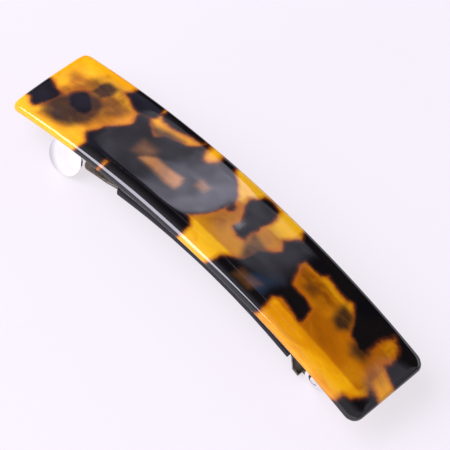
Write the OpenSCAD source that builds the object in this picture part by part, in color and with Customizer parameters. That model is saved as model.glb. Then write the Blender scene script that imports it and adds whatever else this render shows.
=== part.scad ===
// Barrette with an automatic clip: an arched decorative plate on top, and under it a stamped clip
// with a hinged clasp arm, a bowed tension bar and two squeeze-to-release latch jaws.
// X runs along the length, from the latch end to the hinge end. Y is the width. +Z is out of the
// decorative face. The origin is under the middle, level with the lowest points of the clip.

/* [Decorative plate] */
// Length of the plate, measured along its arched top face
plate_length = 90.3; // [86:0.1:110]
// Width of the plate
plate_width = 20; // [16:0.1:26]
// Thickness of the plate
plate_thickness = 1.8; // [1.6:0.1:2.6]
// Radius of the arched top face
arch_radius = 166; // [155:1:180]
// Rounding of the plate's long edges
edge_round = 0.7; // [0.3:0.1:0.7]
// Radius of the two corners at the latch end
latch_corner = 1.5; // [1:0.1:4]
// Radius of the two corners at the hinge end
hinge_corner = 2.4; // [1:0.1:4]
// Thickness of the adhesive between the plate and the clip
glue_gap = 0.15; // [0.05:0.05:0.3]

/* [Clip base] */
// Length of the base strip along the arch
base_length = 82; // [80:1:84]
// Width of the base strip
base_width = 10.5; // [10:0.1:11.5]
// Thickness of the base and arm sheet
sheet = 0.6; // [0.5:0.05:0.7]
// Radius of the base strip's rounded ends
base_end_radius = 5.8; // [5.8:0.1:8]
// Diameter of the hole in each end tab
tab_hole_d = 2; // [1.5:0.1:2.5]
// Distance from the strip's end to the centre of its tab hole
tab_hole_inset = 2.4; // [2:0.1:3]

/* [Hinge] */
// Position of the hinge pin along the arch, from the middle
hinge_at = 33.8; // [33:0.1:34.5]
// Depth of the hinge pin below the plate's top face
hinge_depth = 9.6; // [9.3:0.1:9.9]
// Radius of the rounded end of each hinge lug
lug_radius = 2.1; // [2:0.1:2.5]
// Radius of the hinge pin
pin_radius = 0.75; // [0.6:0.05:0.85]
// Radial clearance of the pin in the clasp arm
pin_clearance = 0.05; // [0.02:0.01:0.1]
// How far above the table the hinge lugs end, when the thumb ears stand on it
lug_rise = 0.2; // [0.1:0.1:0.4]

/* [Clasp arm] */
// Radius of the arm's own arch
arm_radius = 105; // [100:1:112]
// Depth of the middle of the arm below the plate's top face
arm_depth = 10.3; // [10.1:0.1:10.5]
// Half of the arm's width inside the grip sleeve
strip_half = 4; // [3:0.1:4]
// Half of the arm's width at its latch head
head_half = 4.4; // [4:0.1:4.6]
// Half of the arm's width at its hinge shoulders
shoulder_half = 5.8; // [4.8:0.1:5.8]

/* [Grip sleeve] */
// Width of the sleeve
sleeve_width = 9.7; // [9.2:0.1:9.9]
// Height of the sleeve's section
sleeve_height = 2.2; // [1.8:0.1:2.4]
// Where the sleeve begins, near the latch
sleeve_start = -20; // [-21:0.5:-15]
// Where the sleeve ends, near the hinge
sleeve_end = 25; // [20:0.5:25]

/* [Latch jaws] */
// Thickness of the jaw sheet
jaw_sheet = 0.5; // [0.4:0.05:0.6]
// Position of the thumb ears along the arch
ear_at = -33.4; // [-33.9:0.1:-32.9]
// Width of each thumb ear
ear_width = 7.9; // [7.5:0.1:9]
// Height of each thumb ear's rounded part
ear_height = 7.2; // [6:0.1:7.4]
// Width of the neck that carries each ear
ear_neck = 3.6; // [3:0.1:5]
// Outward lean of each ear, in degrees
ear_lean = 20; // [10:1:22]
// How far each barb catches under the arm
barb_catch = 0.5; // [0.3:0.05:0.6]

/* [Tension bar] */
// Width of the bar
bar_width = 5; // [4:0.1:5.5]
// Thickness of the bar
bar_sheet = 0.35; // [0.25:0.05:0.4]
// How far the middle of the bar bows down below its ends
bar_bow = 1.6; // [0.8:0.1:1.8]

/* [Hidden] */
$fn = 96;

// Angle from the middle of the arch, for a distance along the top face
function turn(along) = along / arch_radius * 180 / PI;
// Height of a circle's arc at x, for a circle with its centre at a given height
function arc_z(centre, radius, x) = centre + sqrt(radius * radius - x * x);

hinge_turn = turn(hinge_at);
hinge_radius = arch_radius - hinge_depth;
// The thumb ears stand on z = 0 and the hinge lugs end just above it, which fixes the top face
apex_z = arch_radius - hinge_radius * cos(hinge_turn) + lug_radius + lug_rise;
arch_centre = apex_z - arch_radius;
plate_under = arch_radius - plate_thickness;
base_top = plate_under - glue_gap;
base_under = base_top - sheet;
base_half = base_width / 2;
film_margin = 0.2;
overrun = 1;
cut_depth = 16;

pin_x = hinge_radius * sin(hinge_turn);
pin_z = arch_centre + hinge_radius * cos(hinge_turn);
lug_inset = 0.05;
lug_outer = base_half - lug_inset;
lug_inner = lug_outer - sheet;
pin_head_overhang = 0.3;
pin_head_radius = pin_radius + pin_head_overhang;
pin_head_height = 0.4;

arm_centre = apex_z - arm_depth - arm_radius;
arm_inner = arm_radius - sheet / 2;
arm_outer = arm_radius + sheet / 2;
shoulder_gap = 0.8;
shoulder_length = 1.6;
shoulder_end = pin_x - lug_radius - shoulder_gap;
shoulder_start = shoulder_end - shoulder_length;
cheek_gap = 0.15;
cheek_outer = lug_inner - cheek_gap;
cheek_radius = 1.7;
heel_end = pin_x + cheek_radius;
heel_overlap = 1;
web_gap = 0.4;
heel_z = arc_z(arm_centre, arm_inner, shoulder_end);
head_end = -29.4;
head_length = 8;
head_corner = 1.5;
taper_start = -23;
arm_half_turn = 20;
window_start = -28.1;
window_end = -25.2;
window_half = 2.9;
sleeve_corner = 0.8;

prong_x = (window_start + window_end) / 2;
prong_width = 2;
prong_turn = asin(prong_x / arm_radius);
prong_clearance = 0.3;
prong_outer = window_half - prong_clearance;
barb_gap = 0.15;
barb_height = 0.6;
prong_depth = 14;
prong_side_reach = 5;
foot_reach = 10;
foot_inner = 1.2;
foot_start = ear_at - ear_neck / 2;
foot_end = -28;
// The lowest point of each ear is on z = 0
ear_tilt = turn(-ear_at);
ear_round = ear_height / 2;
ear_root = base_under - jaw_sheet * sin(ear_lean);
ear_upright = cos(ear_lean) * cos(ear_tilt);
ear_round_drop = ear_round * sqrt(pow(sin(ear_tilt), 2) + pow(ear_upright, 2));
ear_side_drop = (ear_width / 2 - ear_round) * sin(ear_tilt);
ear_middle = (arch_centre + ear_root * cos(ear_tilt) - ear_side_drop - ear_round_drop)
    / ear_upright;

// The bar spans the same distance each side of the middle, and then lies flat on the base
bar_half_span = 24;
bar_tab = 3;
bar_radius = (bar_half_span * bar_half_span + bar_bow * bar_bow) / (2 * bar_bow);
bar_end_z = arc_z(arch_centre, base_under, bar_half_span) - bar_sheet;

// Sweeps a profile, with its x as the radius, about an axis along Y, between two angles from +Z
module arc_sweep(centre, from, to) {
    translate([0, 0, centre]) rotate([90, 0, 0]) rotate([0, 0, 90 - to])
        rotate_extrude(angle = to - from) children();
}

// Places its children on the arch: tangent along local X, outward along local Z
module on_arch(along, radius) {
    translate([0, 0, arch_centre]) rotate([0, turn(along), 0]) translate([0, 0, radius]) children();
}

// A flat section of the arch between two radii
module band_profile(inner, outer, half_width) {
    translate([inner, -half_width]) square([outer - inner, 2 * half_width]);
}

// A rectangle with rounded corners, from its lower left corner
module rounded_rect(size, r) {
    translate([r, 0]) square([size[0] - 2 * r, size[1]]);
    translate([0, r]) square([size[0], size[1] - 2 * r]);
    for (x = [r, size[0] - r], y = [r, size[1] - r]) translate([x, y]) circle(r);
}

// A slot shape with round ends, lying along X and centred
module stadium(length, height) {
    square([length - height, height], center = true);
    for (side = [-1, 1]) translate([side * (length - height) / 2, 0]) circle(height / 2);
}

// Cuts one end of an over-long arched strip to the outline given as a child, whose tip is at the
// outline's x = 0. The end is at -X for direction -1 and at +X for direction 1.
module end_cutter(along, depth, direction) {
    on_arch(along, arch_radius) mirror([direction > 0 ? 1 : 0, 0, 0]) difference() {
        translate([-2 * overrun, -plate_width, -cut_depth / 2])
            cube([2 * overrun + depth, 2 * plate_width, cut_depth]);
        translate([0, 0, -cut_depth]) linear_extrude(2 * cut_depth) children();
    }
}

// Outline of an end that is square with rounded corners
module square_end(half_width, r) {
    translate([0, r - half_width]) square([r + overrun, 2 * half_width - 2 * r]);
    for (side = [-1, 1]) translate([r, side * (half_width - r)]) circle(r);
}

// Outline of an end that is one round arc
module round_end(r) {
    translate([r, 0]) circle(r);
    translate([r, -r - overrun]) square([2 * overrun, 2 * r + 2 * overrun]);
}

module acetate_plate() {
    end = plate_length / 2;
    color("darkgoldenrod") difference() {
        arc_sweep(arch_centre, -turn(end + overrun), turn(end + overrun))
            translate([plate_under, -plate_width / 2])
                rounded_rect([plate_thickness, plate_width], edge_round);
        end_cutter(-end, latch_corner, -1) square_end(plate_width / 2, latch_corner);
        end_cutter(end, hinge_corner, 1) square_end(plate_width / 2, hinge_corner);
    }
}

// A thin strip along the arch with one round arc at each end
module round_ended_strip(end, inner, outer, half_width, r) {
    difference() {
        arc_sweep(arch_centre, -turn(end + overrun), turn(end + overrun))
            band_profile(inner, outer, half_width);
        for (direction = [-1, 1]) end_cutter(direction * end, r, direction) round_end(r);
    }
}

module adhesive_film() {
    color("khaki") round_ended_strip(base_length / 2 - film_margin, base_top, plate_under,
        base_half - film_margin, base_end_radius - film_margin);
}

// One hinge lug, folded down from the edge of the base
module hinge_lug(side) {
    on_arch(hinge_at, hinge_radius) translate([0, side > 0 ? lug_outer : -lug_inner, 0])
        rotate([90, 0, 0]) linear_extrude(sheet) {
            circle(lug_radius);
            translate([-lug_radius, 0])
                square([2 * lug_radius, base_under - hinge_radius + sheet / 2]);
        }
}

module base_strip() {
    end = base_length / 2;
    hole_at = end - tab_hole_inset;
    color("silver") difference() {
        union() {
            round_ended_strip(end, base_under, base_top, base_half, base_end_radius);
            for (side = [-1, 1]) hinge_lug(side);
        }
        for (at = [-hole_at, hole_at]) on_arch(at, base_under - overrun)
            cylinder(d = tab_hole_d, h = sheet + 2 * overrun);
        translate([pin_x, base_half + overrun, pin_z]) rotate([90, 0, 0])
            cylinder(r = pin_radius, h = base_width + 2 * overrun);
    }
}

module hinge_pin() {
    dome_radius = (pin_head_radius * pin_head_radius + pin_head_height * pin_head_height)
        / (2 * pin_head_height);
    color("gainsboro") translate([pin_x, 0, pin_z]) {
        rotate([90, 0, 0]) cylinder(r = pin_radius, h = 2 * lug_outer, center = true);
        for (turned = [90, -90]) rotate([turned, 0, 0]) translate([0, 0, lug_outer])
            rotate_extrude() intersection() {
                translate([0, pin_head_height - dome_radius]) circle(dome_radius);
                square([pin_head_radius, pin_head_height]);
            }
    }
}

module tension_bar() {
    half_turn = asin(bar_half_span / bar_radius);
    tab_start = asin((bar_half_span - bar_sheet) / base_under);
    tab_end = asin((bar_half_span + bar_tab) / base_under);
    color("lightsteelblue") {
        mirror([0, 0, 1]) arc_sweep(bar_bow - bar_end_z - bar_radius, -half_turn, half_turn)
            band_profile(bar_radius - bar_sheet, bar_radius, bar_width / 2);
        for (side = [0, 1]) mirror([side, 0, 0]) arc_sweep(arch_centre, tab_start, tab_end)
            band_profile(base_under - bar_sheet, base_under, bar_width / 2);
    }
}

// The hooked tongue that goes through the arm's window and catches under its edge
module prong() {
    barb_z = -sheet / 2 - barb_gap;
    intersection() {
        translate([0, 0, arm_centre]) rotate([0, prong_turn, 0])
            translate([-prong_width / 2, 0, arm_radius]) rotate([90, 0, 90])
                linear_extrude(prong_width) polygon([
                    [-prong_outer, foot_reach], [-prong_outer, barb_z],
                    [-window_half - barb_catch, barb_z], [-prong_outer, barb_z - barb_height],
                    [-prong_outer + jaw_sheet, barb_z - barb_height],
                    [-prong_outer + jaw_sheet, foot_reach]]);
        arc_sweep(arch_centre, turn(foot_start), turn(foot_end + prong_side_reach))
            band_profile(base_under - prong_depth, base_under, base_half);
    }
}

// A jaw on the -Y side: foot under the base, thumb ear outside, hooked prong inside
module latch_jaw() {
    arc_sweep(arch_centre, turn(foot_start), turn(foot_end))
        translate([base_under - jaw_sheet, foot_inner])
            square([jaw_sheet, base_half - foot_inner]);
    on_arch(ear_at, ear_root) translate([0, jaw_sheet - base_half, 0])
        rotate([-ear_lean, 0, 0]) rotate([90, 0, 0]) linear_extrude(jaw_sheet) {
            translate([-ear_neck / 2, -ear_middle]) square([ear_neck, ear_middle]);
            translate([0, -ear_middle]) stadium(ear_width, ear_height);
        }
    prong();
}

module latch_jaw_left() { color("whitesmoke") latch_jaw(); }

module latch_jaw_right() { color("whitesmoke") mirror([0, 1, 0]) latch_jaw(); }

// Outline of the clasp arm, seen from above
module arm_outline() {
    translate([head_end, -head_half]) rounded_rect([head_length, 2 * head_half], head_corner);
    polygon([[taper_start, -head_half], [sleeve_start, -strip_half], [sleeve_end, -strip_half],
        [shoulder_start, -shoulder_half], [shoulder_end, -shoulder_half],
        [shoulder_end, shoulder_half], [shoulder_start, shoulder_half],
        [sleeve_end, strip_half], [sleeve_start, strip_half], [taper_start, head_half]]);
}

// The narrow end of the arm, with its two cheeks round the hinge pin
module arm_heel() {
    translate([shoulder_end - heel_overlap, -cheek_outer, heel_z])
        cube([heel_end - shoulder_end + heel_overlap, 2 * cheek_outer, sheet]);
    for (y = [cheek_outer, sheet - cheek_outer]) translate([pin_x, y, pin_z])
        rotate([90, 0, 0]) linear_extrude(sheet) {
            circle(cheek_radius);
            translate([shoulder_end + web_gap - pin_x, heel_z - pin_z])
                square([heel_end - shoulder_end - web_gap, pin_z - heel_z]);
        }
}

module clasp_arm() {
    color("lightgray") difference() {
        union() {
            intersection() {
                arc_sweep(arm_centre, -arm_half_turn, arm_half_turn)
                    band_profile(arm_inner, arm_outer, shoulder_half);
                linear_extrude(apex_z) arm_outline();
            }
            arm_heel();
        }
        translate([window_start, -window_half, 0])
            cube([window_end - window_start, 2 * window_half, apex_z]);
        translate([pin_x, base_half, pin_z]) rotate([90, 0, 0])
            cylinder(r = pin_radius + pin_clearance, h = base_width);
    }
}

module grip_sleeve() {
    from = asin(sleeve_start / arm_radius);
    to = asin(sleeve_end / arm_radius);
    color("dimgray") arc_sweep(arm_centre, from, to) difference() {
        translate([arm_radius - sleeve_height / 2, -sleeve_width / 2])
            rounded_rect([sleeve_height, sleeve_width], sleeve_corner);
        band_profile(arm_inner, arm_outer, strip_half);
    }
}

acetate_plate();
adhesive_film();
base_strip();
hinge_pin();
tension_bar();
latch_jaw_left();
latch_jaw_right();
clasp_arm();
grip_sleeve();
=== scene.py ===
"""Looks for the barrette: an arched tortoiseshell plate on a bright metal clip, on a pale floor."""
import math

import bmesh
import bpy
import numpy as np
from mathutils import Matrix, Vector


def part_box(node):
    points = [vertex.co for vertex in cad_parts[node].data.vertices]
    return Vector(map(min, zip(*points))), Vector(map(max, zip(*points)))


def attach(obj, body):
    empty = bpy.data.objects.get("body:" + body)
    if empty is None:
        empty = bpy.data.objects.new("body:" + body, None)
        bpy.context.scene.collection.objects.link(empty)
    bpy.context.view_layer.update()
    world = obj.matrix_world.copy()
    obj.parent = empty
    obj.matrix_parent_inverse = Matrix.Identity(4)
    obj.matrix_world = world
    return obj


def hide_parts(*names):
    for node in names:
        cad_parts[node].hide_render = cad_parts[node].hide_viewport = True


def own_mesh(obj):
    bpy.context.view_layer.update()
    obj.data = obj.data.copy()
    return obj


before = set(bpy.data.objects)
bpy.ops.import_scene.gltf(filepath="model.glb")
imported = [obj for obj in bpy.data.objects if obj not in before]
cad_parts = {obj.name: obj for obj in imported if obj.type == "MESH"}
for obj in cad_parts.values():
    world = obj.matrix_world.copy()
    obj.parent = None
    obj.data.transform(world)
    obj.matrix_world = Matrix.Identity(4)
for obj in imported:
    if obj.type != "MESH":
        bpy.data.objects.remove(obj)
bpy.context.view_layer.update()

MM = 0.001

# ---------------------------------------------------------------- sizes taken from the frame
PLATE_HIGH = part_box("acetate_plate")[1]
ARCH_RADIUS = 166 * MM
PLATE_THICKNESS = 1.8 * MM
APEX = Vector((0, 0, PLATE_HIGH.z))
ARCH_CENTRE_Z = APEX.z - ARCH_RADIUS
PLATE_HALF_WIDTH = PLATE_HIGH.y
PLATE_HALF_LENGTH = ARCH_RADIUS * math.asin(PLATE_HIGH.x / ARCH_RADIUS)

# ---------------------------------------------------------------- plate shape
LATCH_CORNER = 1.5 * MM
HINGE_CORNER = 2.4 * MM
TOP_ROUND = 0.9 * MM
UNDER_ROUND = 0.3 * MM
CROWN_RADIUS = 150 * MM
CROWN_LIFT = 0.05 * MM
SHOULDER_FROM = 6.6 * MM
SHOULDER_RADIUS = 24 * MM
GRID_STEP = 0.5 * MM
# Grid lines through a rounded edge, as parts of its radius, and then through a rounded corner
EDGE_LINES = (0, 0.015, 0.05, 0.11, 0.2, 0.32, 0.47, 0.65, 0.83, 1.0)
CORNER_LINES = (1.6 * MM, 2.1 * MM, 2.6 * MM)


def grid_lines(full, fine):
    """Positions from -full to full: a regular grid inside, and the given fine steps at each end."""
    inner = full - fine[-1]
    count = max(2, round(2 * inner / GRID_STEP))
    middle = [inner * (2 * i / count - 1) for i in range(count + 1)]
    return [-full + d for d in fine[:-1]] + middle + [full - d for d in reversed(fine[:-1])]


def half_width_at(along):
    """Half of the plate's width at a place along it, with its corners rounded."""
    r = LATCH_CORNER if along < 0 else HINGE_CORNER
    into = r - (PLATE_HALF_LENGTH - abs(along))
    if into <= 0:
        return PLATE_HALF_WIDTH
    return PLATE_HALF_WIDTH - r + math.sqrt(max(0.0, r * r - into * into))


def inside_distance(along, across):
    """Distance in from the plate's outline, measured flat."""
    r = LATCH_CORNER if along < 0 else HINGE_CORNER
    dx = abs(along) - (PLATE_HALF_LENGTH - r)
    dy = abs(across) - (PLATE_HALF_WIDTH - r)
    outside = math.hypot(max(dx, 0), max(dy, 0)) + min(max(dx, dy), 0)
    return max(0.0, r - outside)


def rounded_drop(inside, radius):
    """How far a rounded edge has dropped, at a distance in from the outline."""
    into = max(0.0, radius - inside)
    return radius - math.sqrt(max(0.0, radius * radius - into * into))


def crown_drop(across):
    """The top face is a little crowned across its width, and more so towards its long edges."""
    shoulder = max(0.0, abs(across) - SHOULDER_FROM)
    return across * across / (2 * CROWN_RADIUS) + shoulder * shoulder / (2 * SHOULDER_RADIUS)


def bend(along, across, height):
    """A point of the flat plate, with height 0 on its top face, bent to the arch."""
    angle = along / ARCH_RADIUS
    radius = ARCH_RADIUS + height
    return (radius * math.sin(angle), across, ARCH_CENTRE_Z + radius * math.cos(angle))


def new_object(name, points, faces, smooth=True):
    mesh = bpy.data.meshes.new(name)
    mesh.from_pydata(points, [], faces)
    mesh.validate()
    if smooth:
        mesh.shade_smooth()
    obj = bpy.data.objects.new(name, mesh)
    bpy.context.collection.objects.link(obj)
    return obj


def build_plate():
    """Two matching grids, crowned and rounded towards the outline, joined by a wall."""
    fine = [TOP_ROUND * part for part in EDGE_LINES]
    columns = grid_lines(PLATE_HALF_LENGTH, fine + list(CORNER_LINES))
    rows = [y / PLATE_HALF_WIDTH for y in grid_lines(PLATE_HALF_WIDTH, fine)]
    points, flat = [], []
    for top in (True, False):
        for along in columns:
            width = half_width_at(along)
            for row in rows:
                across = row * width
                inside = inside_distance(along, across)
                if top:
                    height = CROWN_LIFT - crown_drop(across) - rounded_drop(inside, TOP_ROUND)
                else:
                    height = rounded_drop(inside, UNDER_ROUND) - PLATE_THICKNESS
                points.append(bend(along, across, height))
                flat.append((along / MM, across / MM, height / MM))
    n, m = len(columns), len(rows)
    lower = n * m
    faces = []
    for i in range(n - 1):
        for j in range(m - 1):
            a, b, c, d = i * m + j, (i + 1) * m + j, (i + 1) * m + j + 1, i * m + j + 1
            faces.append((a, b, c, d))
            faces.append((lower + a, lower + d, lower + c, lower + b))
    rim = ([i * m for i in range(n)] + [(n - 1) * m + j for j in range(1, m)]
           + [i * m + m - 1 for i in range(n - 2, -1, -1)] + list(range(m - 2, 0, -1)))
    for a, b in zip(rim, rim[1:] + rim[:1]):
        faces.append((a, a + lower, b + lower, b))
    return new_object("acetate_plate_shell", points, faces), np.array(flat)


# ---------------------------------------------------------------- tortoiseshell pattern
# Outlines on the flattened plate in millimetres: along from the middle (latch end negative), and
# across (near side negative). Each patch has the width over which its edge fades.
DARK_PATCHES = [
    (0.30, [(-48, -0.4), (-43.7, -0.5), (-42.4, -1.1), (-41, -1.6), (-39.6, -2), (-39.4, -3.4),
            (-40.1, -5.6), (-41.3, -7.6), (-42.4, -7.5), (-43.4, -6.5), (-48, -5.4)]),
    (0.35, [(-38.7, -0.4), (-37.4, 1.4), (-36.4, 1.9), (-34.4, 0.7), (-32.6, -0.5), (-32.5, -2.7),
            (-34.2, -3.7), (-36.8, -3.2), (-38.6, -2)]),
    (0.28, [(-30.4, 12), (-24.1, 12), (-23.5, 7.7), (-23.3, 6.6), (-24.1, 5.3), (-26, 4.6),
            (-28.5, 5.2), (-30.4, 6.1), (-31.6, 6.7), (-30.8, 7.8)]),
    (0.28, [(-24.1, 5.5), (-22.9, 4.4), (-21.6, 3.4), (-20.4, 2.8), (-19.2, 4.3), (-16.6, 5.3),
            (-14.8, 5.7), (-13.2, 7.4), (-12.1, 12), (-5.6, 12), (-5.2, 8.3), (-2.6, 6.2),
            (-1, 4.8), (0.2, 2.5), (-0.5, 0.9), (-1, -0.9), (-2, -3.2), (-3.8, -5.6),
            (-1.8, -7), (-1.6, -12), (-21.2, -12), (-21.6, -8), (-22.4, -8), (-22.3, -12),
            (-28, -12), (-28, -7.5), (-29.5, -5.8), (-28.2, -2.8), (-27.2, -1.2),
            (-25.6, 0.8), (-25.2, 1.9), (-26, 3.8), (-26, 5)]),
    (0.30, [(-22.8, 12), (-12, 12), (-13.2, 8), (-16, 7.8), (-17.9, 7.1), (-19.6, 6.6),
            (-21.8, 6.7), (-23.2, 7.6)]),
    (0.30, [(2.7, 8.5), (4.4, 8.9), (6.5, 8.7), (7.1, 6.6), (7.2, 4.7), (6.5, 3.1), (6.9, 1.9),
            (6.5, 0.6), (6.7, -1.4), (5.1, -1.9), (3.3, -0.9), (3.5, 0.9), (2.9, 2.2),
            (1.5, 4.1), (1.1, 5.9), (2.2, 7.2)]),
    (0.35, [(-0.4, 2.8), (0.6, 2.6), (1, 1.5), (0.4, 0.6), (-0.6, 0.8)]),
    (0.30, [(12.4, 12), (12.6, 8.4), (13.5, 7.2), (12.1, 5.9), (11.3, 4.3), (12.6, 2.5),
            (12.2, 1.6), (10.7, 0.3), (9.6, -1), (9.1, -4.6), (7.4, -6), (6.2, -7.5),
            (5.8, -12), (18.7, -12), (18.6, -8.4), (17.9, -5.6), (19, -4.4), (22.9, -4.9),
            (24.8, -5.3), (24.9, -3.4), (24.4, -1.4), (21.6, -0.8), (18.5, -0.9), (17.6, 1.2),
            (16.5, 3.1), (16.8, 4.6), (19.1, 4.5), (20.6, 4.9), (21.6, 6), (24.8, 5.4),
            (27.2, 5.5), (28.2, 5.9), (29.3, 5.2), (30.4, 3.9), (31.3, 2.5), (32.6, 1),
            (35.2, 0.2), (38, 1.1), (40.4, 2.2), (43.5, 1.1), (48, 0.6), (48, 12)]),
    (0.35, [(41.5, -2.8), (42.9, -3.1), (44.3, -3.6), (48, -4.5), (48, -12), (40, -12),
            (39.9, -8.2), (41.3, -7.7), (42.2, -6.2), (42.6, -4.7), (41.9, -3.4)]),
]
CLEAR_WINDOWS = [
    (0.35, [(-12.2, 12), (-11.8, 7.4), (-10.9, 5.4), (-9.4, 5.8), (-8.3, 7.2), (-8.8, 12)]),
    (0.45, [(37.9, 8.1), (36.9, 6.2), (36.5, 4.1), (36.8, 2), (38, 0.4), (40.4, 1.2),
            (40.7, 3.8), (40.4, 5.9), (39.3, 7.2)]),
]
# Each brown smudge has its strength after the fade width.
SMUDGES = [
    (1.1, 1.00, [(-39.8, -2.4), (-38.8, -1.4), (-36.8, 1.8), (-34.2, 2.6), (-31.6, 1.2),
                 (-30.8, -1.2), (-31, -4), (-33, -6.8), (-36, -8), (-39, -7.6), (-40.4, -6),
                 (-40.4, -4)]),
    (0.6, 1.00, [(-36.4, 2.2), (-36.6, 5.4), (-35.4, 6.6), (-33, 6.4), (-32.6, 4.2), (-33.8, 2.2)]),
    (1.2, 0.55, [(-33.6, 3.4), (-31, 4.4), (-27.4, 4), (-27.6, 2), (-29.6, -0.4), (-31.4, -4)]),
    (0.9, 0.45, [(-39.6, 3.8), (-37.6, 6), (-36, 5.4), (-36.4, 3.4), (-38.2, 2.4)]),
    (1.0, 0.85, [(-20.4, 2.8), (-21.8, 3.2), (-22.6, 4.6), (-19, 5.9), (-15.6, 6.2), (-17.6, 3.6)]),
    (0.9, 0.95, [(6.4, 1.2), (9.2, 1), (11.8, 0), (10.6, -5), (8.8, -5.2), (7.4, -2.4)]),
    (1.2, 0.90, [(33.9, 2.6), (37.2, 1.8), (37.6, -0.8), (35, -1.9), (33.4, -0.4)]),
    (1.0, 1.00, [(27.3, 4.6), (30.6, 4), (31.6, 1.4), (30, -0.4), (28, 0.2), (27.2, 2.2)]),
    (1.0, 0.55, [(19.8, 2.4), (22.4, 2.8), (22.4, 0.6), (20.2, 0.4)]),
    (1.0, 0.50, [(40, -0.6), (41.6, -1.6), (43, -3.6), (41.6, -5.4), (39.8, -3)]),
]
# Warm rust-coloured veils over the clear amber.
RUST = [
    (1.2, 0.62, [(-43, 4.4), (-40, 4.2), (-38.4, 2.4), (-40.6, 1.2), (-42.8, 2.4)]),
    (1.6, 0.75, [(-41, 0), (-38.8, 4), (-37, 7.4), (-32, 7.2), (-28, 4.2), (-27.4, -2), (-31, -5.6),
                 (-34, -8.4), (-39.6, -8.6), (-41.8, -5)]),
    (1.2, 1.00, [(16.6, 5.2), (23, 4.6), (27, 3), (25, 0), (20, 0.2), (16.6, 2)]),
    (1.4, 0.75, [(1, 5.6), (3, 0.6), (2.4, -3.4), (-1.6, -4), (-1, -1), (0.6, 3)]),
    (1.6, 0.62, [(24.4, -0.4), (30, -1.6), (33, -3.8), (30, -5.2), (24.4, -5.2)]),
    (1.4, 0.62, [(36, 6.8), (41, 6), (43, -1), (39, -1.4), (36.6, 0.6)]),
    (1.0, 0.35, [(16.4, 7), (27, 6.2), (30, 3), (24, 2.6), (16.4, 3.4)]),
    (1.2, 0.40, [(7.4, 5), (9.6, 5.6), (12, 5), (10.4, 1.4), (7.4, 1)]),
]
# Warm brown places inside the dark patches, as if the colour were thinner there.
THIN_PLACES = [
    (0.6, 1.00, [(-18.7, -3.2), (-18, -1.9), (-16.4, -0.8), (-13, -0.9), (-10, -0.5),
                 (-9.3, -1.8), (-9.4, -3.5), (-11.6, -3.7), (-15.4, -3.2)]),
    (1.2, 0.32, [(-21, 0.6), (-17.6, 0.6), (-17.2, -2), (-20.6, -2.6)]),
    (0.8, 0.45, [(-7.6, 2), (-5.2, 1.8), (-5.4, 0), (-7.4, 0.2)]),
    (0.9, 0.22, [(10.6, -6), (15, -5.6), (14.2, -8), (10.4, -8.2)]),
]
# Painted shade, with the metal base seen through: where the base lies behind the plate it blocks
# the light shining through the clear colour, so a darker band is painted, a little off centre as
# seen.
BAND_OFFSET = -0.7
BAND_HALF_WIDTH = 4.85
BAND_HALF_LENGTH = 41.2
# On the plate's lower face the pattern is shifted a little.
UNDER_SHIFT = (0.9, -0.7)
# The stored fields stop growing at these distances, in fade widths and in millimetres.
DARK_LIMIT = 8.0
BAND_LIMIT = 3.0


def distance_inside(points, outline):
    """Distance from each point to the outline, positive inside it."""
    corners = np.array(outline, float)
    following = np.roll(corners, -1, axis=0)
    nearest = np.full(len(points), np.inf)
    inside = np.zeros(len(points), bool)
    for a, b in zip(corners, following):
        edge, to = b - a, points - a
        t = np.clip(to @ edge / (edge @ edge), 0, 1)
        nearest = np.minimum(nearest, np.linalg.norm(to - t[:, None] * edge, axis=1))
        if a[1] != b[1]:
            crosses = (a[1] > points[:, 1]) != (b[1] > points[:, 1])
            at = a[0] + (points[:, 1] - a[1]) / (b[1] - a[1]) * edge[0]
            inside ^= crosses & (points[:, 0] < at)
    return np.where(inside, nearest, -nearest)


def softened(points, fade, outline):
    """Coverage from 0 to 1 with a fade of the given width across the outline."""
    t = np.clip(distance_inside(points, outline) / (2 * fade) + 0.5, 0, 1)
    return t * t * (3 - 2 * t)


def strongest(points, patches):
    """The strongest coverage by any patch of a fade width, a strength and an outline."""
    cover = np.zeros(len(points))
    for fade, strength, outline in patches:
        cover = np.maximum(cover, strength * softened(points, fade, outline))
    return cover


def paint_attributes(obj, flat):
    """Stores the pattern's fields on the plate, with the far side of the sheet shifted a little."""
    depth = np.clip(-flat[:, 2] / (PLATE_THICKNESS / MM), 0, 1)
    places = flat[:, :2] + depth[:, None] * np.array(UNDER_SHIFT)
    dark = np.full(len(flat), -DARK_LIMIT)
    for fade, outline in DARK_PATCHES:
        dark = np.maximum(dark, distance_inside(places, outline) / fade)
    for fade, outline in CLEAR_WINDOWS:
        dark = np.minimum(dark, -distance_inside(places, outline) / fade)
    # Distance inside the band of painted shade over the metal base
    base_shade_band = np.minimum(BAND_HALF_WIDTH - np.abs(flat[:, 1] - BAND_OFFSET),
                      BAND_HALF_LENGTH - np.abs(flat[:, 0]))
    fields = {"dark": np.clip(dark, -DARK_LIMIT, DARK_LIMIT), "smudge": strongest(places, SMUDGES),
              "rust": strongest(places, RUST), "thin": strongest(places, THIN_PLACES),
              "base_shade_band": np.clip(base_shade_band, -BAND_LIMIT, BAND_LIMIT)}
    for name, values in fields.items():
        attribute = obj.data.attributes.new(name, "FLOAT", "POINT")
        attribute.data.foreach_set("value", values.astype(np.float32))
    attribute = obj.data.attributes.new("flat", "FLOAT_VECTOR", "POINT")
    attribute.data.foreach_set("vector", flat.astype(np.float32).ravel())


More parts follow.
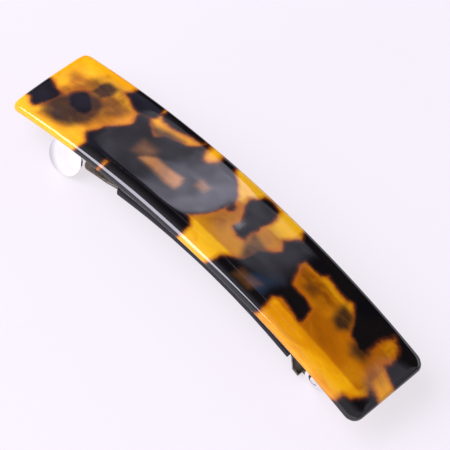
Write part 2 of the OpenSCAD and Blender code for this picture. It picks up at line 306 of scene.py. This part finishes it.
# ---------------------------------------------------------------- materials
class Nodes:
    """A node tree, with short calls for the nodes that these finishes and the sky use."""

    def __init__(self, tree, output_kind):
        self.tree = tree
        self.tree.nodes.clear()
        self.output = self.node(output_kind)

    def end_with(self, socket):
        self.tree.links.new(socket, self.output.inputs["Surface"])

    def node(self, kind, settings=None, **inputs):
        made = self.tree.nodes.new(kind)
        for key, value in (settings or {}).items():
            setattr(made, key, value)
        for key, value in inputs.items():
            self.feed(made.inputs[key.replace("_", " ")], value)
        return made

    def feed(self, socket, value):
        if isinstance(value, bpy.types.NodeSocket):
            self.tree.links.new(value, socket)
        else:
            socket.default_value = value

    def attribute(self, name, output="Fac"):
        return self.node("ShaderNodeAttribute", {"attribute_name": name}).outputs[output]

    def place(self):
        return self.node("ShaderNodeTexCoord").outputs["Object"]

    def from_axis(self, place, centre):
        """Distance from a line along Y, whose x and z are given."""
        flat_place = self.scaled(place, (1, 0, 1), (-centre[0], 0, -centre[1]))
        return self.node("ShaderNodeVectorMath", {"operation": "LENGTH"},
                         Vector=flat_place).outputs["Value"]

    def scaled(self, vector, scale, offset=(0, 0, 0)):
        return self.node("ShaderNodeMapping", None, Vector=vector, Scale=scale,
                         Location=offset).outputs["Vector"]

    def noise(self, vector, scale, detail=3.0, rough=0.5, distortion=0.0):
        return self.node("ShaderNodeTexNoise", None, Vector=vector, Scale=scale, Detail=detail,
                         Roughness=rough, Distortion=distortion).outputs["Fac"]

    def math(self, operation, a, b=0.0, c=0.0):
        made = self.node("ShaderNodeMath", {"operation": operation})
        for socket, value in zip(made.inputs, (a, b, c)):
            self.feed(socket, value)
        return made.outputs[0]

    def span(self, value, low, high, out_low=0.0, out_high=1.0):
        made = self.node("ShaderNodeMapRange", {"interpolation_type": "SMOOTHSTEP"})
        for key, v in (("Value", value), ("From Min", low), ("From Max", high),
                       ("To Min", out_low), ("To Max", out_high)):
            self.feed(made.inputs[key], v)
        return made.outputs["Result"]

    def mix(self, factor, a, b, blend="MIX"):
        made = self.node("ShaderNodeMix", {"data_type": "RGBA", "blend_type": blend})
        for index, value in ((0, factor), (6, a), (7, b)):
            if isinstance(value, tuple) and len(value) == 3:
                value = (*value, 1)
            self.feed(made.inputs[index], value)
        return made.outputs[2]

    def bump(self, height, distance, normal=None):
        made = self.node("ShaderNodeBump", None, Height=height, Distance=distance)
        if normal is not None:
            self.feed(made.inputs["Normal"], normal)
        return made.outputs["Normal"]


class Shader(Nodes):
    """A new material, empty until it is given a surface."""

    def __init__(self, name):
        self.material = bpy.data.materials.new(name)
        self.material.use_nodes = True
        super().__init__(self.material.node_tree, "ShaderNodeOutputMaterial")

    def finish(self, **inputs):
        """Gives the material a Principled surface, and returns it."""
        surface = self.node("ShaderNodeBsdfPrincipled", None, **inputs)
        self.end_with(surface.outputs["BSDF"])
        return self.material


def tortoiseshell():
    sh = Shader("tortoiseshell acetate")
    flat = sh.attribute("flat", "Vector")
    drift = sh.scaled(flat, (0.10, 0.16, 0.3))
    cloud = sh.noise(drift, 1.0, 4, 0.55, 0.9)
    swirl = sh.noise(sh.scaled(flat, (0.22, 0.42, 0.4), (3, 7, 1)), 1.0, 2.5, 0.5, 0.8)
    ragged = sh.noise(flat, 0.38, 2, 0.45)
    fine = sh.noise(flat, 1.3, 2, 0.5)
    speck = sh.noise(flat, 7.0, 2, 0.5)

    # Clear amber with slow cloudy changes, and painted light: brighter towards the latch end, where
    # light shines through it
    x = sh.node("ShaderNodeSeparateXYZ", None, Vector=flat).outputs["X"]
    lengthwise = sh.span(x, -44.0, 10.0)
    bright = sh.mix(lengthwise, (0.95, 0.475, 0.010), (0.76, 0.350, 0.003))
    deep = sh.mix(lengthwise, (0.90, 0.380, 0.006), (0.60, 0.220, 0.001))
    amber = sh.mix(sh.span(cloud, 0.36, 0.64), bright, deep)
    from_middle = sh.math("ABSOLUTE", sh.math("SUBTRACT", x, 3.0))
    amber = sh.mix(sh.span(from_middle, 13.0, 6.0, 0.0, 0.60), amber, (0.74, 0.44, 0.016))
    amber = sh.mix(sh.math("MULTIPLY", sh.span(swirl, 0.52, 0.72), 0.35), amber,
                   (0.62, 0.200, 0.004))

    # Painted shade of the metal base, which blocks the light through the clear colour, tinted as
    # the base seen through it
    base_shade_band = sh.math("ADD", sh.attribute("base_shade_band"), sh.math("MULTIPLY_ADD", ragged, 0.5, -0.25))
    base_shade_band = sh.span(base_shade_band, -0.35, 0.45)
    tint = sh.mix(lengthwise, (0.86, 0.70, 0.62), (0.72, 0.56, 0.80))
    amber = sh.mix(base_shade_band, amber, tint, "MULTIPLY")
    dim = sh.mix(sh.span(x, -30.0, -5.0), (1, 1, 1), (0.88, 0.88, 0.88))
    amber = sh.mix(base_shade_band, amber, sh.mix(1.0, amber, dim, "MULTIPLY"))

    # Rust-coloured veils and soft brown smudges below the surface
    rust = sh.math("MULTIPLY", sh.attribute("rust"), sh.span(swirl, 0.30, 0.66, 0.55, 1.05))
    amber = sh.mix(rust, amber, (0.21, 0.056, 0.001))
    smudge = sh.math("MULTIPLY", sh.attribute("smudge"), sh.span(cloud, 0.30, 0.62, 0.85, 1.05))
    brown = sh.mix(sh.span(swirl, 0.30, 0.70), (0.058, 0.025, 0.007), (0.034, 0.015, 0.005))

    # Dark patches with a red-brown fringe
    dark = sh.math("ADD", sh.attribute("dark"), sh.math("MULTIPLY_ADD", ragged, 3.2, -1.6))
    dark = sh.math("ADD", dark, sh.math("MULTIPLY_ADD", fine, 0.9, -0.45))
    halo = sh.span(dark, -3.8, -0.3)
    colour = sh.mix(sh.math("MULTIPLY", halo, 0.78), amber, (0.37, 0.090, 0.003))
    colour = sh.mix(smudge, colour, brown)
    fringe = sh.math("MULTIPLY", sh.span(dark, -1.5, 0.7),
                     sh.math("MULTIPLY_ADD", smudge, -0.85, 1.0))
    colour = sh.mix(fringe, colour, (0.085, 0.018, 0.005))
    core = sh.span(dark, -0.4, 2.2)
    night = sh.mix(sh.span(cloud, 0.35, 0.65), (0.0030, 0.0026, 0.0034), (0.0058, 0.0042, 0.0040))
    colour = sh.mix(core, colour, night)

    # Thinner places inside the dark patches
    thin = sh.math("MULTIPLY", sh.attribute("thin"), sh.span(cloud, 0.30, 0.60, 0.75, 1.0))
    glow_brown = sh.mix(sh.span(swirl, 0.3, 0.7), (0.32, 0.125, 0.030), (0.48, 0.195, 0.045))
    colour = sh.mix(thin, colour, glow_brown)

    wave = sh.noise(sh.scaled(flat, (0.07, 0.12, 0.1)), 1.0, 1, 0.4, 0.3)
    surface = sh.bump(wave, 0.00010)
    surface = sh.bump(speck, 0.0000012, surface)
    colour = sh.mix(1.0, colour, (0.90, 0.90, 0.90), "MULTIPLY")
    return sh.finish(Base_Color=colour, Roughness=0.32, Normal=surface, Specular_IOR_Level=0.0,
                     Coat_Weight=1.0, Coat_Roughness=0.035, Coat_IOR=1.62, Coat_Normal=surface)


def bright_metal(name, light, shade, rough, grain, painted_shade=None, pin_shade=None):
    """Plated or rolled steel: even reflections with faint rolling marks and soft stains.

    A painted shade greys the metal away from a place painted as lit, given with that place and how
    far its painted light reaches.
    A pin shade is a painted shadow: a dark crescent at one side of a riveted pin's head, given with
    the pin's place and the crescent's radius."""
    sh = Shader(name)
    place = sh.place()
    blotch = sh.noise(place, 260.0, 4, 0.6, 0.6)
    rolled = sh.noise(sh.scaled(place, (180, 2600, 1400)), 1.0, 3, 0.6)
    pores = sh.noise(place, 5200.0, 2, 0.5)
    colour = sh.mix(sh.span(blotch, 0.35, 0.70), light, shade)
    roughness = sh.span(sh.math("ADD", sh.math("MULTIPLY", rolled, 0.6),
                                sh.math("MULTIPLY", blotch, 0.4)), 0.3, 0.7, rough * 0.7,
                        rough * 1.4)
    surface = sh.bump(rolled, grain)
    surface = sh.bump(pores, grain * 0.6, surface)
    if painted_shade:
        # Painted shade: the metal is painted greyer away from the lit place
        centre, reach = painted_shade
        away = sh.span(sh.from_axis(place, centre), reach, 1.45 * reach)
        colour = sh.mix(away, colour, (0.56, 0.56, 0.58))
    if pin_shade:
        # Painted shade: a dark crescent beside the pin's head, where shade falls in the gap round
        # it
        centre, radius = pin_shade
        shifted = (centre[0] + 0.35 * radius, centre[1] + 0.15 * radius)
        inner = sh.span(sh.from_axis(place, shifted), 0.80 * radius, 0.95 * radius)
        outer = sh.span(sh.from_axis(place, centre), 1.12 * radius, 0.98 * radius)
        colour = sh.mix(sh.math("MULTIPLY", inner, outer), colour, (0.010, 0.010, 0.012))
    return sh.finish(Base_Color=colour, Metallic=1.0, Roughness=roughness, Normal=surface)


def black_rubber():
    sh = Shader("black sleeve")
    place = sh.place()
    soft = sh.noise(place, 320.0, 4, 0.6)
    grain = sh.noise(place, 3800.0, 3, 0.6)
    colour = sh.mix(sh.span(soft, 0.35, 0.7), (0.006, 0.006, 0.009), (0.011, 0.011, 0.015))
    return sh.finish(Base_Color=colour, Roughness=sh.span(soft, 0.3, 0.7, 0.14, 0.24),
                     Specular_IOR_Level=0.18, Normal=sh.bump(grain, 0.000004))


def clear_adhesive():
    sh = Shader("clear adhesive")
    place = sh.place()
    soft = sh.noise(place, 900.0, 4, 0.6)
    colour = sh.mix(sh.span(soft, 0.35, 0.7), (0.52, 0.36, 0.16), (0.38, 0.24, 0.09))
    return sh.finish(Base_Color=colour, Roughness=sh.span(soft, 0.3, 0.7, 0.15, 0.35),
                     Normal=sh.bump(soft, 0.00003))


def pale_floor():
    sh = Shader("pale floor")
    place = sh.place()
    soft = sh.noise(place, 9.0, 3, 0.5)
    grain = sh.noise(place, 2400.0, 2, 0.5)
    colour = sh.mix(sh.span(soft, 0.3, 0.7), (0.160, 0.155, 0.165), (0.170, 0.165, 0.175))
    return sh.finish(Base_Color=colour, Roughness=0.55, Normal=sh.bump(grain, 0.00001),
                     Specular_IOR_Level=0.2, Emission_Color=(1.0, 0.94, 1.0, 1),
                     Emission_Strength=0.71)


# ---------------------------------------------------------------- pieces
plate, plate_flat = build_plate()
paint_attributes(plate, plate_flat)
plate.data.materials.append(tortoiseshell())
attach(plate, "base")
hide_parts("acetate_plate")

PIN_LOW, PIN_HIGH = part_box("hinge_pin")
PIN = ((PIN_LOW.x + PIN_HIGH.x) / 2, (PIN_LOW.z + PIN_HIGH.z) / 2)
# Radius of the painted shade crescent round the hinge pin's head
PIN_SHADE_RADIUS = 1.15 * MM
JAW_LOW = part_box("latch_jaw_left")[0]
EAR_HALF_WIDTH = 3.95 * MM
# Painted shade: each ear is painted greyer away from its upper part, which stays bright as if lit
EAR_LIT_PLACE = (JAW_LOW.x + EAR_HALF_WIDTH + 1.2 * MM, JAW_LOW.z + 5.0 * MM)
EAR_LIT_REACH = 3.9 * MM
NICKEL = bright_metal("nickel plated steel", (0.93, 0.92, 0.91), (0.82, 0.81, 0.80), 0.15, 2e-6,
                      pin_shade=(PIN, PIN_SHADE_RADIUS))
EAR_NICKEL = bright_metal("nickel plated ear", (0.96, 0.95, 0.94), (0.88, 0.87, 0.86), 0.15, 2e-6,
                          painted_shade=(EAR_LIT_PLACE, EAR_LIT_REACH))
# Painted shade: the arm's steel is coloured far darker than the other steel, standing in for the
# dark it mirrors under the plate
SHADED_ARM_STEEL = bright_metal("arm steel with painted shade", (0.19, 0.17, 0.14), (0.09, 0.08, 0.07), 0.16, 1e-6)
SPRING = bright_metal("spring steel", (0.66, 0.66, 0.67), (0.52, 0.52, 0.54), 0.20, 3e-6)
RUBBER = black_rubber()
GLUE = clear_adhesive()


MERGE_DISTANCE = 2e-6
FLAT_ANGLE = math.radians(0.8)
BEVEL_ANGLE = math.radians(32)
SMOOTH_ANGLE = math.radians(40)
BEVEL_SEGMENTS = 2


def softened_copy(node, body, material, width):
    """A copy of a stamped or moulded part with its sharp edges rounded."""
    bm = bmesh.new()
    bm.from_mesh(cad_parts[node].data)
    bmesh.ops.remove_doubles(bm, verts=bm.verts, dist=MERGE_DISTANCE)
    bmesh.ops.dissolve_limit(bm, angle_limit=FLAT_ANGLE, verts=bm.verts, edges=bm.edges)
    sharp = [e for e in bm.edges if e.is_manifold and e.calc_face_angle() > BEVEL_ANGLE]
    bmesh.ops.bevel(bm, geom=sharp, offset=width, offset_type="OFFSET",
                    segments=BEVEL_SEGMENTS, profile=0.5, affect="EDGES", clamp_overlap=True)
    mesh = bpy.data.meshes.new(node + "_finished")
    bm.to_mesh(mesh)
    bm.free()
    mesh.shade_smooth()
    mesh.set_sharp_from_angle(angle=SMOOTH_ANGLE)
    mesh.materials.append(material)
    obj = bpy.data.objects.new(node + "_finished", mesh)
    bpy.context.collection.objects.link(obj)
    obj.modifiers.new("even shading", "WEIGHTED_NORMAL").keep_sharp = True
    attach(obj, body)
    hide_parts(node)
    return obj


softened_copy("base_strip", "base", NICKEL, 0.08 * MM)
softened_copy("hinge_pin", "base", NICKEL, 0.05 * MM)
softened_copy("latch_jaw_left", "jaw_left", EAR_NICKEL, 0.10 * MM)
softened_copy("latch_jaw_right", "jaw_right", EAR_NICKEL, 0.10 * MM)
softened_copy("clasp_arm", "arm", SHADED_ARM_STEEL, 0.08 * MM)
softened_copy("grip_sleeve", "arm", RUBBER, 0.15 * MM)
bar = softened_copy("tension_bar", "base", SPRING, 0.05 * MM)
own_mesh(bar)
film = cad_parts["adhesive_film"]
film.data.materials.clear()
film.data.materials.append(GLUE)

# ---------------------------------------------------------------- floor and light
floor = new_object("floor", [(-1.5, -1.5, 0), (1.5, -1.5, 0), (1.5, 1.5, 0), (-1.5, 1.5, 0)],
                   [(0, 1, 2, 3)], smooth=False)
floor.data.materials.append(pale_floor())


def facing(toward, distance, along=None):
    """A place in a direction from the plate, turned so that its -Z looks at the plate, with its
    X level or near a given direction."""
    back = Vector(toward).normalized()
    across = Vector((0, 0, 1)).cross(back) if along is None else Vector(along)
    across = (across - back * across.dot(back)).normalized()
    up = back.cross(across)
    spot = APEX + back * distance
    return Matrix(((across.x, up.x, back.x, spot.x), (across.y, up.y, back.y, spot.y),
                   (across.z, up.z, back.z, spot.z), (0, 0, 0, 1)))


def softbox(name, toward, distance, size, radiance, colour):
    """An area light in a direction from the plate, facing it, with an even brightness."""
    data = bpy.data.lights.new(name, "AREA")
    data.shape = "RECTANGLE"
    data.size, data.size_y = size
    data.energy = radiance * size[0] * size[1] * math.pi
    data.color = colour
    obj = bpy.data.objects.new(name, data)
    bpy.context.collection.objects.link(obj)
    obj.matrix_world = facing(toward, distance)


def glow(name, toward, distance, half, corner, soft, radiance, colour, uneven, along=None,
         dimming=None):
    """A glowing panel in a direction from the plate, with rounded and softly fading edges. Dimming
    gives two places along its X and the part of the light that is left before the first."""
    sh = Shader(name)
    place = sh.place()
    axes = sh.node("ShaderNodeSeparateXYZ", None, Vector=place)
    beyond = []
    for axis, size in zip("XY", half):
        reach = sh.math("SUBTRACT", sh.math("ABSOLUTE", axes.outputs[axis]), size - corner)
        beyond.append(sh.math("POWER", sh.math("MAXIMUM", reach, 0.0), 2.0))
    gap = sh.math("SQRT", sh.math("ADD", *beyond))
    level = sh.span(gap, corner, corner - soft)
    cloudy = sh.span(sh.noise(place, 16.0, 3, 0.5, 0.8), 0.3, 0.7, 1.0 - uneven, 1.0 + uneven)
    power = sh.math("MULTIPLY", sh.math("MULTIPLY", level, cloudy), radiance)
    if dimming:
        start, full, left = dimming
        power = sh.math("MULTIPLY", power, sh.span(axes.outputs["X"], start, full, left, 1.0))
    lamp = sh.node("ShaderNodeEmission", None, Color=(*colour, 1), Strength=power)
    clear = sh.node("ShaderNodeBsdfTransparent")
    both = sh.node("ShaderNodeMixShader", None, Fac=level)
    sh.tree.links.new(clear.outputs[0], both.inputs[1])
    sh.tree.links.new(lamp.outputs[0], both.inputs[2])
    sh.end_with(both.outputs[0])
    w, h = half
    panel = new_object(name, [(-w, -h, 0), (w, -h, 0), (w, h, 0), (-w, h, 0)], [(0, 1, 2, 3)],
                       smooth=False)
    panel.data.materials.append(sh.material)
    panel.matrix_world = facing(toward, distance, along)


LILAC = (0.83, 0.81, 1.0)
glow("back left panel", (-0.4325, 0.570, 0.6995), 0.80, (0.1445, 0.150), 0.085, 0.014, 2.9, LILAC,
     0.30, along=(1, 0, 0.6), dimming=(-0.020, 0.070, 0.27))
glow("far left haze", (-0.62, 0.50, 0.60), 0.92, (0.300, 0.240), 0.150, 0.120, 0.36,
     (0.66, 0.62, 1.0), 0.3)
glow("haze", (-0.178, 0.590, 0.797), 0.81, (0.120, 0.155), 0.090, 0.055, 0.80, LILAC, 0.3,
     along=(1, 0, 0.1))
glow("blue glow", (-0.090, 0.469, 0.880), 0.82, (0.032, 0.075), 0.028, 0.022, 0.9,
     (0.26, 0.50, 1.0), 0.2, along=(1, 0, 0.1))
glow("thin strip", (-0.25, 0.40, 0.86), 0.83, (0.300, 0.005), 0.005, 0.004, 1.1, LILAC, 0.3,
     along=(1, 0, 0.2))
glow("small lamp", (-0.226, 0.543, 0.809), 0.78, (0.007, 0.010), 0.006, 0.005, 6.0,
     (0.95, 0.96, 1.0), 0.3)
glow("back right glow", (0.46, 0.53, 0.71), 0.9, (0.22, 0.22), 0.1, 0.05, 0.6, LILAC, 0.2)
softbox("near softbox", (-0.44, -0.58, 0.75), 1.0, (0.68, 0.85), 10.0, (0.87, 0.85, 1.0))
softbox("low back light", (0.1, 0.90, 0.42), 1.2, (1.2, 0.35), 1.6, (0.92, 0.90, 1.0))


def studio_sky():
    """An even sky, with a dark place behind and above the plate where the studio was unlit, and a
    pale sweep low in front, which the plate's near wall and the clip mirror."""
    world = bpy.data.worlds.new("studio")
    bpy.context.scene.world = world
    world.use_nodes = True
    sky = Nodes(world.node_tree, "ShaderNodeOutputWorld")
    direction = sky.node("ShaderNodeTexCoord").outputs["Generated"]
    axes = sky.node("ShaderNodeSeparateXYZ", None, Vector=direction).outputs
    x, y, z = axes["X"], axes["Y"], axes["Z"]
    sideways = sky.math("DIVIDE", sky.math("ADD", x, 0.13), 0.62)
    onward = sky.math("DIVIDE", sky.math("SUBTRACT", y, 0.62), 0.30)
    off_centre = sky.math("SQRT", sky.math("ADD", sky.math("POWER", sideways, 2.0),
                                           sky.math("POWER", onward, 2.0)))
    fade = sky.span(off_centre, 0.95, 1.5, 0.02, 0.50)
    sweep = sky.math("MULTIPLY", sky.span(y, -0.25, -0.45, 0.0, 0.85), sky.span(z, 0.50, 0.35))
    sweep = sky.math("MULTIPLY", sweep, sky.span(x, -0.56, -0.30))
    background = sky.node("ShaderNodeBackground", None, Color=(0.90, 0.885, 1.0, 1),
                          Strength=sky.math("ADD", fade, sweep))
    sky.end_with(background.outputs["Background"])


studio_sky()

# ---------------------------------------------------------------- camera
AZIMUTH, ELEVATION, ROLL = (math.radians(angle) for angle in (27.42, 53.41, 20.08))
DISTANCE = 544.7 * MM
AIM_DROP = 0.31 * MM
OFF_RIGHT = 0.256 * MM
OFF_DOWN = 2.21 * MM


def photo_camera():
    """The camera at the photograph's viewing angle, aimed just below the top of the arch."""
    back = Vector((math.sin(AZIMUTH) * math.cos(ELEVATION),
                   -math.cos(AZIMUTH) * math.cos(ELEVATION), math.sin(ELEVATION)))
    level = Vector((math.cos(AZIMUTH), math.sin(AZIMUTH), 0))
    upright = back.cross(level)
    right = math.cos(ROLL) * level + math.sin(ROLL) * upright
    up = math.cos(ROLL) * upright - math.sin(ROLL) * level
    spot = APEX - Vector((0, 0, AIM_DROP)) + back * DISTANCE + right * OFF_RIGHT - up * OFF_DOWN
    data = bpy.data.cameras.new("camera")
    data.lens = 240
    data.sensor_width = 36
    data.clip_start = 0.01
    data.clip_end = 10
    camera = bpy.data.objects.new("camera", data)
    bpy.context.collection.objects.link(camera)
    camera.matrix_world = Matrix((
        (right.x, up.x, back.x, spot.x), (right.y, up.y, back.y, spot.y),
        (right.z, up.z, back.z, spot.z), (0, 0, 0, 1)))
    return camera


bpy.context.scene.camera = photo_camera()
bpy.context.scene.view_settings.view_transform = "Standard"
